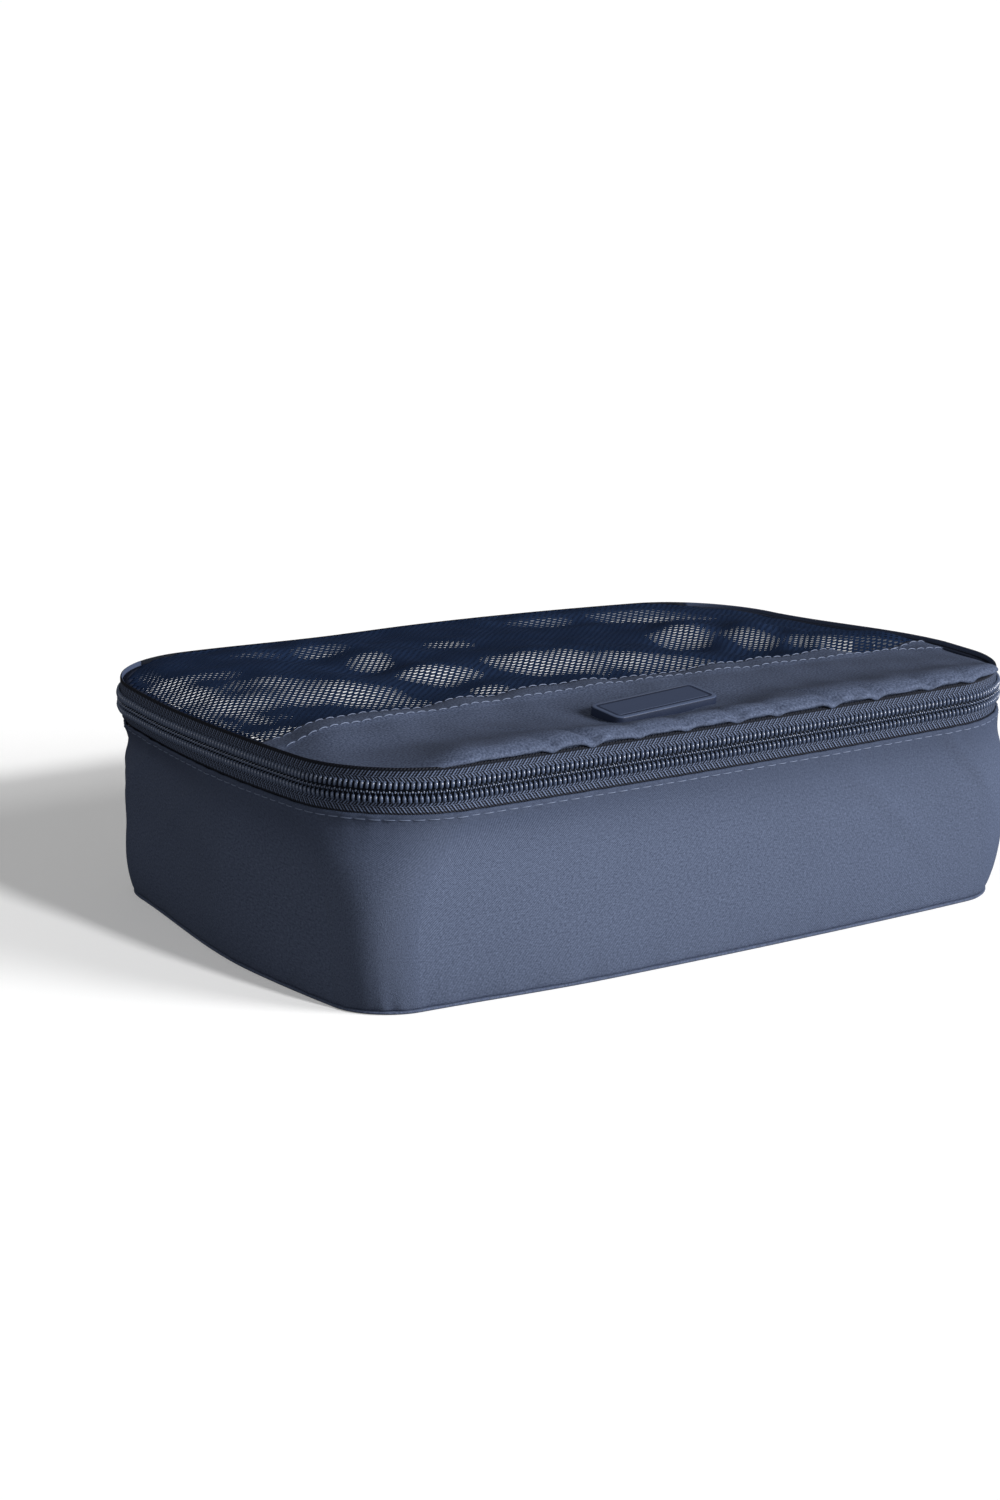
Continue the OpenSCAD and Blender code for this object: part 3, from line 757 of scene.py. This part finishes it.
# folds of the slack net: place, half width, depth from front to back, slope in degrees
netFolds = [
    (-0.119, 0.020, 0.028, 0.034, 5.5), (-0.099, 0.007, 0.018, 0.028, 4.5),
    (-0.131, -0.025, 0.012, 0.0085, 11), (-0.079, -0.008, 0.020, 0.012, 16),
    (-0.078, 0.060, 0.010, 0.0065, 15), (-0.057, 0.060, 0.011, 0.011, 18),
    (-0.051, 0.034, 0.0125, 0.012, 16), (-0.049, 0.001, 0.015, 0.0105, 21),
    (-0.013, 0.040, 0.009, 0.0075, 14), (-0.043, -0.023, 0.007, 0.0055, 18),
    (-0.005, -0.003, 0.029, 0.012, 16), (0.025, -0.020, 0.015, 0.011, 13),
    (0.038, 0.068, 0.013, 0.008, 18), (0.075, 0.061, 0.024, 0.008, 22),
    (0.059, 0.016, 0.010, 0.013, 20), (0.078, 0.003, 0.008, 0.014, 20),
    (0.092, -0.003, 0.004, 0.010, 12), (0.109, -0.024, 0.022, 0.010, 31),
    (0.078, -0.032, 0.010, 0.006, 12)]
foldAway = Vector((0.556, 0.831))


def lidDepth(py):
    return np.where(py < 0, halfF, halfB) - cube["lidInset"]


# a place on the lid as it would be without the bow of its sides
def plainOf(x, y):
    px, py = np.array(x, float), np.array(y, float)
    for _ in range(4):
        b = lidDepth(py)
        px = x / (1 + cube["sideBow"] * (1 - (py / b) ** 2) / lidA)
        py = np.where(y < 0, y / (1 + cube["frontBow"] * (1 - (px / lidA) ** 2) / b), y)
    return px, py


def lidHalf(py):
    e = np.abs(py) - lidDepth(py) + lidR
    return np.where(e <= 0, lidA, lidA - lidR + np.sqrt(np.maximum(0, lidR * lidR - np.maximum(e, 0) ** 2)))


def lidHeight(x, y):
    px, py = plainOf(x, y)
    b = lidDepth(py)
    half = np.maximum(lidHalf(py), 1e-4)
    u = np.clip(px / half, -1, 1)
    gap = np.maximum(b + py, 0)
    endGap = (1 - np.abs(u)) * half
    edge = np.minimum(endGap, b - np.abs(py))
    z = lidZ + cube["crown"] * (1 - u ** 4) * (1 - np.clip(np.abs(py) / b, 0, 1) ** 4)
    rollShare = smoothStep(px, *lid["rollFrom"]) * (1 - 0.8 * smoothStep(px, *lid["rollTo"]))
    z = z + lid["roll"] * rollShare * bell(gap, 0, lid["rollDepth"]) * (1 - 0.25 * np.exp(-gap / 0.0020))
    z = z - lid["endDrop"] * smoothStep(px, *lid["endX"]) * np.exp(-endGap / 0.005)
    # the left half is stuffed fuller, with a shoulder along its end
    full = plateau(py, *lid["fillY"]) * smoothStep(edge, 0, 0.014)
    z = z + lid["fill"] * full * (1 - smoothStep(px, *lid["fillX"]))
    end = plateau(py, *lid["shoulderY"]) * (1 - smoothStep(px, *lid["shoulderX"]))
    z = z + lid["shoulder"] * end * smoothStep(endGap, 0, 0.016)
    z = z + lid["rearLift"] * np.exp(-np.maximum(b - py, 0) / 0.004) * (py > 0)
    for dx, depth, slant, reach in bandDips:
        off = (px - dx - slant * gap) / lid["dipHalf"]
        z = z + depth * bell(gap, 0, reach) * rollShare * (0.35 * bell(off, 0, 2.6) - bell(off, 0, 1))
    z = z + lid["swell"] * wobbleFlat(px, py, 17, 0.014, 0.04) * smoothStep(edge, 0.001, 0.006)
    # the net is slack except along its edges and round the badge
    slack = smoothStep(edge, 0.0015, 0.012) * smoothStep(py, netFront - 0.012, netFront + 0.004)
    slack = slack * (1 - np.exp(-((x - badgeAt.x) / 0.030) ** 4 - ((y - badgeAt.y) / 0.013) ** 4))
    for fx, fy, width, depth, slope in netFolds:
        away = ((x - fx) * foldAway.x + (y - fy) * foldAway.y) / depth
        across = ((x - fx) * foldAway.y - (y - fy) * foldAway.x) / width
        rise = math.tan(math.radians(slope)) * depth
        z = z + slack * rise * away * np.exp(-0.5 * away ** 2) * np.exp(-np.abs(across) ** 2.6)
    z = z - lid["farDip"] * slack * bell(x, 0.120, 0.024) * bell(y, -0.006, 0.022)
    return z + slack * lid["slackSwell"] * wobbleFlat(x, y, 21, 0.012, 0.03)


# the band's face: it steps up at its hem and dips at the front of the badge
def bandTop(x, y):
    py = plainOf(x, y)[1]
    lean = np.exp(-((x - badgeAt.x) / lid["badgeDipX"]) ** 4) * plateau(badgeAt.y - y, *lid["badgeDipY"])
    hem = lid["hemLift"] * smoothStep(py, netFront - 0.0098, netFront - 0.008)
    return lidHeight(x, y) + hem - lid["badgeDip"] * lean


def bandSheet(s):
    b = halfF - cube["lidInset"]
    straight = lidR - b
    curve = straight - lidR * np.cos(np.linspace(0, math.pi / 2, 22))
    rows = np.concatenate([curve, np.linspace(straight, netFront + 0.001, 16)[1:]])
    u, py = np.meshgrid(np.linspace(-1, 1, 221), rows)
    px = u * lidHalf(py)
    x = px + cube["sideBow"] * (1 - (py / b) ** 2) * px / lidA
    y = np.where(py < 0, py + cube["frontBow"] * (1 - (px / lidA) ** 2) * py / b, py)
    sheet = np.stack([x, y, bandTop(x, y)], -1).reshape(-1, 3)
    at = np.arange(u.size).reshape(u.shape)
    quads = np.stack([at[:-1, :-1], at[:-1, 1:], at[1:, 1:], at[1:, :-1]], -1).reshape(-1, 4)
    # the edge rolls out over the zip tape, less at both ends
    edge = np.concatenate([at[:0:-1, 0], at[0, :], at[1:, -1]])
    rim = sheet[edge]
    step = np.gradient(rim[:, :2], axis=0)
    run = np.linalg.norm(step, axis=1)
    out = np.stack([step[:, 1], -step[:, 0]], -1) / np.maximum(run, 1e-9)[:, None]
    share = (s["lipLeast"] + (1 - s["lipLeast"]) * plateau(rim[:, 0], *s["lipX"]))[:, None]
    ripple = 1 + s["lipRipple"] * wobble(np.cumsum(run), 31, 0.006, 0.016)[:, None]
    points, uvs, loops = [sheet], [sheet[:, :2]], [edge]
    for k, (over, drop) in enumerate(s["lip"]):
        ring = rim[:, :2] + out * over * share * ripple
        points.append(np.concatenate([ring, rim[:, 2:] - drop * (0.25 + 0.75 * share)], -1))
        uvs.append(rim[:, :2] + out * 0.0006 * (k + 1))
        loops.append(len(sheet) + k * len(edge) + np.arange(len(edge)))
    strips = [np.stack([a[:-1], c[:-1], c[1:], a[1:]], -1) for a, c in zip(loops, loops[1:])]
    faces = np.concatenate([quads] + strips).tolist()
    cloth = addMesh("lidBand", np.concatenate(points), faces, np.concatenate(uvs), (bandFinish,))
    thick = cloth.modifiers.new("thick", "SOLIDIFY")
    thick.thickness = s["clothT"]
    thick.offset = -1
    pick(cloth)
    bpy.ops.object.modifier_apply(modifier="thick")
    return cloth


lidBand = bandSheet(lid)
dress(lidBand, "lid", "cloth", "lid_front_panel")

print("knitting the net")
net = dict(pitchX=0.0025, pitchY=0.00133, columns=56, hole=0.54, over=0.00016, under=0.00022, margin=0.0004,
           lap=0.002)


def netSheet(s):
    px, py = s["pitchX"], s["pitchY"]
    corners = [(0, 2 / 3), (-0.5, 1 / 3), (-0.5, -1 / 3), (0, -2 / 3), (0.5, -1 / 3), (0.5, 1 / 3)]
    rows = np.arange(int((netFront - s["lap"]) / py), int(halfB / py) + 1)
    j, i = np.meshgrid(rows, np.arange(-s["columns"], s["columns"] + 1), indexing="ij")
    cx, cy = ((i + 0.5 * (j % 2)) * px).ravel(), (j * py).ravel()
    reachX, reachY = px * 0.5 + s["margin"], py * 0.67 + s["margin"]
    fits = cy > netFront - s["lap"]
    for sx in (-1, 0, 1):
        for sy in (-1, 0, 1):
            ox, oy = plainOf(cx + sx * reachX, cy + sy * reachY)
            b = lidDepth(oy)
            fits &= (np.abs(oy) < b) & (np.abs(ox) < lidHalf(np.clip(oy, -b, b)))
    # each hole has six sides that slope down to the middle of the yarn; flat tops join neighbouring holes
    points, faces = [], []
    edgeOf, cornerOf, lowOf = {}, {}, {}
    for x0, y0 in zip(cx[fits].tolist(), cy[fits].tolist()):
        first = len(points)
        spots = [(x0 + ax * px, y0 + ay * py) for ax, ay in corners]
        keys = [(round(x / px * 2), round(y / py * 3)) for x, y in spots]
        points += [(x0 + ax * px * s["hole"], y0 + ay * py * s["hole"], s["over"]) for ax, ay in corners]
        for key, (x, y) in zip(keys, spots):
            if key not in lowOf:
                lowOf[key] = len(points)
                points.append((x, y, -s["under"]))
        for k in range(6):
            n = (k + 1) % 6
            h, g = first + k, first + n
            faces.append([h, g, lowOf[keys[n]], lowOf[keys[k]]])
            edgeOf.setdefault(frozenset((keys[k], keys[n])), []).append((h, g))
            cornerOf.setdefault(keys[k], []).append(h)
    # the sloping sides of the holes take the darker second material, painted shade, since the net casts no
    # shadow into them
    slots = [1] * len(faces)
    faces += [[*pair[0], *pair[1]] for pair in edgeOf.values() if len(pair) == 2]
    faces += [trio for trio in cornerOf.values() if len(trio) == 3]
    slots += [0] * (len(faces) - len(slots))
    points = np.array(points)
    points[:, 2] += lidHeight(points[:, 0], points[:, 1])
    yarn = addMesh("lidNet", points, faces, None, (netFinish, netWellPaintedShade), slots)
    bpy.ops.object.shade_smooth_by_angle(angle=math.radians(40))
    return yarn


lidNet = netSheet(net)
# light passes the fine mesh, so the lining behind its holes isn't in the dark
lidNet.visible_shadow = False
dress(lidNet, "lid", "net", "lid_mesh_panel")

print("binding the lid seam")
lidHem = dict(step=0.003, start=-0.0009, width=0.0034, cloth=0.0006, flap=(-0.0026, -0.0034), drop=0.0042)


# a flat tape under the lid's edge with a flap that hangs from it
def lidSeam(s):
    path = closedPath(s["step"])
    start, end = s["start"], s["start"] - s["width"]
    near, far = s["flap"]
    section = [(start, -0.0004), (end, -0.0003), (end, -0.0003 - s["cloth"]), (far, -0.0012),
               (far, -s["drop"]), (near, -s["drop"]), (near, -0.0013), (start, -0.0013)]
    rings = [ringAt(path, lidZ + dz, g, tapeR + g) for g, dz in section]
    slots = [0, 0, 0, 1, 1, 1, 0, 0]
    return loft("lidSeam", np.stack(rings, 1), True, None, (seamFinish, bindingFinish), slots)


dress(lidSeam(lidHem), "lid", "binding", "lid_binding")

print("stitching")
stitch = dict(thread=0.00016, hemPitch=0.0042, hemLength=0.0034, hemDrop=0.0014, bandPitch=0.0038,
              bandLength=0.0030, bandRows=(0.0004, 0.0088), bandEnd=0.006)


def stitchShape(s, length):
    r = s["thread"]
    rise, end = r * 0.7, length / 2
    spots = [(-end, -r, 0), (-length * 0.3, rise, 0), (length * 0.3, rise, 0), (end, -r, 0)]
    return takeMesh(rodThrough(spots, [r * 0.7, r, r, r * 0.7], 2))


def hemStitches(s):
    places = np.arange(s["hemPitch"], lengthAlong(wallPath)[-1], s["hemPitch"])
    z = wallTop - s["hemDrop"]
    out = wallGrow((z - baseTop) / (wallTop - baseTop)) + wallRipple(places, z)
    return alongPath("hemStitches", stitchShape(s, s["hemLength"]), places, wallPath, z, threadFinish, out)


def bandStitches(s):
    points, faces = stitchShape(s, s["bandLength"])
    copies = []
    for back in s["bandRows"]:
        y = netFront - back
        reach = float(lidHalf(np.array(y))) + cube["sideBow"] - s["bandEnd"]
        for x in np.arange(-reach, reach, s["bandPitch"]):
            px, py = x + points[:, 0], y + points[:, 2]
            copies.append(np.stack([px, py, bandTop(px, py) + points[:, 1] + s["thread"] * 0.4], -1))
    return manyOf("bandStitches", copies, faces, threadFinish)


dress(hemStitches(stitch), "tub", "cloth")
dress(bandStitches(stitch), "lid", "cloth")

print("moulding the badge")
badge = dict(length=0.042, depth=0.014, thick=0.0028, turn=7, cornerR=0.0030, border=0.0010, groove=0.00008,
             line=0.0010, step=0.00004, edge=0.0004, seatX=0.017, seatY=0.005)


# selects the edges or faces that pass a test, and stays in edit mode
def choose(piece, kind, test):
    bpy.ops.mesh.select_mode(type=kind)
    bpy.ops.mesh.select_all(action="DESELECT")
    bpy.ops.object.mode_set(mode="OBJECT")
    for part in piece.data.edges if kind == "EDGE" else piece.data.polygons:
        part.select = test(part)
    bpy.ops.object.mode_set(mode="EDIT")


def badgePlate(s):
    piece = sizedCube((s["length"], s["depth"], s["thick"]))
    piece.name = "badgePlate"

    def heights(edge):
        return [piece.data.vertices[i].co.z for i in edge.vertices]

    choose(piece, "EDGE", lambda e: max(heights(e)) - min(heights(e)) > s["thick"] / 2)
    bpy.ops.mesh.bevel(offset=s["cornerR"], segments=6, affect="EDGES")
    choose(piece, "EDGE", lambda e: min(heights(e)) > s["thick"] * 0.49)
    bpy.ops.mesh.bevel(offset=s["edge"], segments=3, affect="EDGES")
    choose(piece, "FACE", lambda f: f.normal.z > 0.99 and f.area > s["length"] * s["depth"] / 2)
    bpy.ops.mesh.inset(thickness=s["border"], depth=0)
    bpy.ops.mesh.inset(thickness=s["step"], depth=-s["groove"])
    bpy.ops.mesh.inset(thickness=s["line"], depth=0)
    bpy.ops.mesh.inset(thickness=s["step"], depth=s["groove"] * 0.6)
    bpy.ops.object.mode_set(mode="OBJECT")
    for m in (badgeFinish, badgeSidePaintedShade, badgeRimPaintedHighlight):
        piece.data.materials.append(m)
    # the border and the round top edge take a painted highlight, the sides and the groove floor painted shade
    for f in piece.data.polygons:
        depth = s["thick"] / 2 - f.center.z
        if f.normal.z > 0.99:
            f.material_index = 2 if depth < s["groove"] * 0.2 else 1 if depth > s["groove"] * 0.8 else 0
        else:
            f.material_index = 1 if f.normal.z < 0.5 else 2
    bpy.ops.object.shade_smooth_by_angle(angle=math.radians(35))
    # seat: the plane through the cloth at the middle of the four sides
    turn = math.radians(s["turn"])
    run = Vector((math.cos(turn), math.sin(turn))) * s["seatX"]
    back = Vector((-math.sin(turn), math.cos(turn))) * s["seatY"]
    spots = [badgeAt.xy + d for d in (run, -run, back, -back)]
    z = [float(bandTop(np.array(v.x), np.array(v.y))) for v in spots]
    roll, tilt = math.atan2(z[0] - z[1], 2 * s["seatX"]), math.atan2(z[2] - z[3], 2 * s["seatY"])
    lean = Matrix.Rotation(turn, 4, "Z") @ Matrix.Rotation(-roll, 4, "Y") @ Matrix.Rotation(tilt, 4, "X")
    piece.data.transform(Matrix.Translation((*badgeAt.xy, sum(z) / 4 + s["thick"] / 2)) @ lean)
    return piece


dress(badgePlate(badge), "lid", "badge", "badge")

print("fitting the sliders")
slider = dict(plate=0.0012, edge=0.00045, proud=0.00325, tail=0.62, taper=1.3, back=0.001, backHeight=0.0064,
              backEdge=0.0003, postAt=0.0032, postLength=0.002, postHeight=0.0004, postEdge=0.0001,
              lug=(0.0033, 0.0035, 0.0009), lugAt=(0.0016, 0.0022), lugEdge=0.0004, pinR=0.0006,
              pinLength=0.0036)
pull = dict(thick=0.0015, edge=0.0004, hang=0.165, hangFrom=0.0105, tabShift=0.0018, tabShort=0.0052,
            neckAt=0.0095, neckThin=0.85, neckLength=0.004, neckHeight=0.0031, neckEdge=0.0003,
            eyeR=0.00128, eyeWire=0.00042, eyeStretch=3.0)


def sliderBody(label, side, pivot, drop, s):
    low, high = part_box(f"slider_{label}_body")
    middle, size = (low + high) / 2, high - low
    plateX = high.x - s["proud"]
    face = block((plateX - s["plate"] / 2, middle.y, middle.z), (s["plate"], size.y, size.z), s["edge"])
    for v in face.data.vertices:
        ahead = min(1, max(0, ((v.co.y - middle.y) * side / size.y + 0.5) * s["taper"]))
        v.co.z = middle.z + (v.co.z - middle.z) * (s["tail"] + (1 - s["tail"]) * ahead)
    backSize = (s["back"], size.y, s["backHeight"])
    rear = block((low.x + s["back"] / 2, middle.y, middle.z), backSize, s["backEdge"])
    postSize = (plateX - low.x, s["postLength"], s["postHeight"])
    post = block(((low.x + plateX) / 2, middle.y + side * s["postAt"], middle.z), postSize, s["postEdge"])
    lugX, lugUp = plateX + s["lugAt"][0], s["lugAt"][1]
    lugs = [block((lugX, middle.y, middle.z + k * lugUp), s["lug"], s["lugEdge"]) for k in (1, -1)]
    bpy.ops.object.select_all(action="DESELECT")
    bpy.ops.mesh.primitive_cylinder_add(location=(0, 0, 0), radius=s["pinR"], depth=s["pinLength"],
                                        vertices=24)
    pin = bpy.context.object
    pin.data.transform(Matrix.Translation(pivot))
    pin.data.materials.append(sliderFinish)
    whole = joined(f"slider{label.title()}", face, rear, post, *lugs, pin)
    whole.data.transform(Matrix.Translation((0, 0, drop)))
    return whole


def sliderPull(label, side, pivot, drop, s):
    low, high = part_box(f"slider_{label}_pull")
    middle, size = (low + high) / 2, high - low
    tabSize = (s["thick"], size.y - s["tabShort"], size.z)
    tab = block((pivot.x, middle.y - side * s["tabShift"], pivot.z), tabSize, s["edge"])
    neckSize = (s["thick"] * s["neckThin"], s["neckLength"], s["neckHeight"])
    neck = block((pivot.x, -side * s["neckAt"], pivot.z), neckSize, s["neckEdge"])
    bpy.ops.object.select_all(action="DESELECT")
    bpy.ops.mesh.primitive_torus_add(location=(0, 0, 0), major_radius=s["eyeR"], minor_radius=s["eyeWire"],
                                     major_segments=24, minor_segments=10)
    eye = bpy.context.object
    eye.data.transform(Matrix.Translation(pivot) @ Matrix.Diagonal((1, 1, s["eyeStretch"], 1)))
    eye.data.materials.append(sliderFinish)
    whole = joined(f"pull{label.title()}", tab, neck, eye)
    for v in whole.data.vertices:
        v.co.z += drop - s["hang"] * max(0, abs(v.co.y) - s["hangFrom"])
    return whole


for side, label in ((1, "front"), (-1, "rear")):
    pivot = jointAt(f"pull_{label}_swing")
    middle = sum(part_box(f"slider_{label}_body"), Vector()) / 2
    # the sagged chain is a little lower here
    drop = settle([(middle.x, middle.y, zipZ)])[0][2] - zipZ
    dress(sliderBody(label, side, pivot, drop, slider), f"slider_{label}", "slider", f"slider_{label}_body")
    dress(sliderPull(label, side, pivot, drop, pull), f"pull_{label}", "pull", f"slider_{label}_pull")

print("setting the studio")
studio = dict(floor=60.0, paper=0.8, ambient=0.12, floorGlow=0.26, floorBounce=0.1, lens=79.645,
              right=(0.8311, -0.5561, 0.0), up=(0.1345, 0.2010, 0.9703), back=(-0.5396, -0.8064, 0.2419),
              eye=(-0.5897, -0.84468, 0.30199))
# lamp: azimuth from the front towards +X, elevation, strength, angular size
lamps = dict(key=(34, 24, 2.32, 20), fill=(39, 6, 2.38, 24), leftFill=(-62, 16, 0.49, 40),
             floorKey=(10, 26, 3.1, 5))
white = (1, 1, 1, 1)


# the floor glows a little to the camera and throws little light back on the cube
def floorPaper(s):
    material, w, shader = newMaterial("floorPaper", 0.9)
    shader.inputs["Base Color"].default_value = (s["paper"],) * 3 + (1,)
    glow = w.node("ShaderNodeEmission", {"Color": white, "Strength": s["floorGlow"]})
    both = w.node("ShaderNodeAddShader", {0: Wire(w.tree, shader.outputs[0]), 1: glow})
    dim = w.node("ShaderNodeBsdfDiffuse", {"Color": (s["floorBounce"],) * 3 + (1,)})
    seen = w.node("ShaderNodeMixShader", {0: w.node("ShaderNodeLightPath"), 1: dim, 2: both})
    plug(seen, w.tree.nodes["Material Output"], 0)
    return material


# the camera sees white where the cube is lit by a dimmer sky
def skyLight(s):
    world = bpy.data.worlds.new("studio")
    world.use_nodes = True
    w = Wire(world.node_tree)
    dim = w.node("ShaderNodeBackground", {"Color": white, "Strength": s["ambient"]})
    bright = w.node("ShaderNodeBackground", {"Color": white, "Strength": 1.0})
    seen = w.node("ShaderNodeMixShader", {0: w.node("ShaderNodeLightPath"), 1: dim, 2: bright})
    plug(seen, w.tree.nodes["World Output"], 0)
    return world


bpy.ops.mesh.primitive_plane_add(size=studio["floor"], location=(0, 0, 0))
floor = bpy.context.object
floor.name = "floor"
floor.data.materials.append(floorPaper(studio))
bpy.context.scene.world = skyLight(studio)

for name, (azimuth, elevation, strength, spread) in lamps.items():
    a, e = math.radians(azimuth), math.radians(elevation)
    away = Vector((math.sin(a) * math.cos(e), -math.cos(a) * math.cos(e), math.sin(e)))
    sun = bpy.data.lights.new(name, "SUN")
    sun.energy = strength
    sun.angle = math.radians(spread)
    lamp = place(name, sun)
    lamp.location = away * 2
    lamp.rotation_euler = away.to_track_quat("Z", "Y").to_euler()
    if name == "floorKey":    # lights the floor alone
        paper = bpy.data.collections.new("paper")
        paper.objects.link(floor)
        lamp.light_linking.receiver_collection = paper

cameraData = bpy.data.cameras.new("camera")
cameraData.lens = studio["lens"]
cameraData.sensor_width = 36
cameraData.sensor_fit = "AUTO"
cameraData.clip_end = 200
camera = place("camera", cameraData)
axes = [(*studio[axis], 0) for axis in ("right", "up", "back")]
camera.matrix_world = Matrix((*axes, (*studio["eye"], 1))).transposed()
bpy.context.scene.camera = camera
bpy.context.scene.view_settings.view_transform = "Standard"

print("done")
